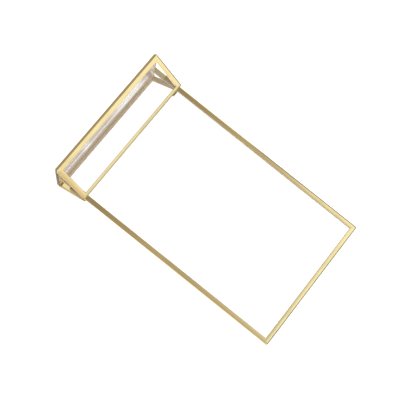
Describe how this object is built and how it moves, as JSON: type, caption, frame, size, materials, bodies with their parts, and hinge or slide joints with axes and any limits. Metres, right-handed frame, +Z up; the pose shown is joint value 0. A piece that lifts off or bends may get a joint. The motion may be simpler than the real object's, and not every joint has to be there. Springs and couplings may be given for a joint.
{
  "type": "table sign holder",
  "caption": "Two-sided clear card pocket with gold edge mouldings that lifts out of a low clear base of triangular section, for a menu or number card on a table.",
  "frame": {"origin": "middle of the base at table level, on the middle plane of the card pocket", "axes": "+X across the sign to the right as seen from the front, +Y from front to back, +Z up"},
  "size_m": [0.1128, 0.0534, 0.1945],
  "materials": {
    "clear_acrylic": "clear, glossy",
    "polished_gold": "polished pale gold"
  },
  "bodies": {
    "base": {"bottom_plate": "clear_acrylic", "front_panel": "clear_acrylic", "back_panel": "clear_acrylic", "front_apex_rail": "polished_gold", "front_foot_rail": "polished_gold", "front_left_bar": "polished_gold", "front_right_bar": "polished_gold", "back_foot_rail": "polished_gold", "back_left_bar": "polished_gold", "back_right_bar": "polished_gold", "left_clip": "polished_gold", "right_clip": "polished_gold"},
    "pocket": {"front_pane": "clear_acrylic", "back_pane": "clear_acrylic", "left_spacer": "clear_acrylic", "right_spacer": "clear_acrylic", "top_spacer": "clear_acrylic", "left_edge_moulding": "polished_gold", "right_edge_moulding": "polished_gold", "top_edge_moulding": "polished_gold"}
  },
  "joints": [
    {"name": "pocket_lift", "type": "slide", "parent": "base", "child": "pocket", "axis": [0, 0, 1], "range_m": [0, 0.03]}
  ]
}
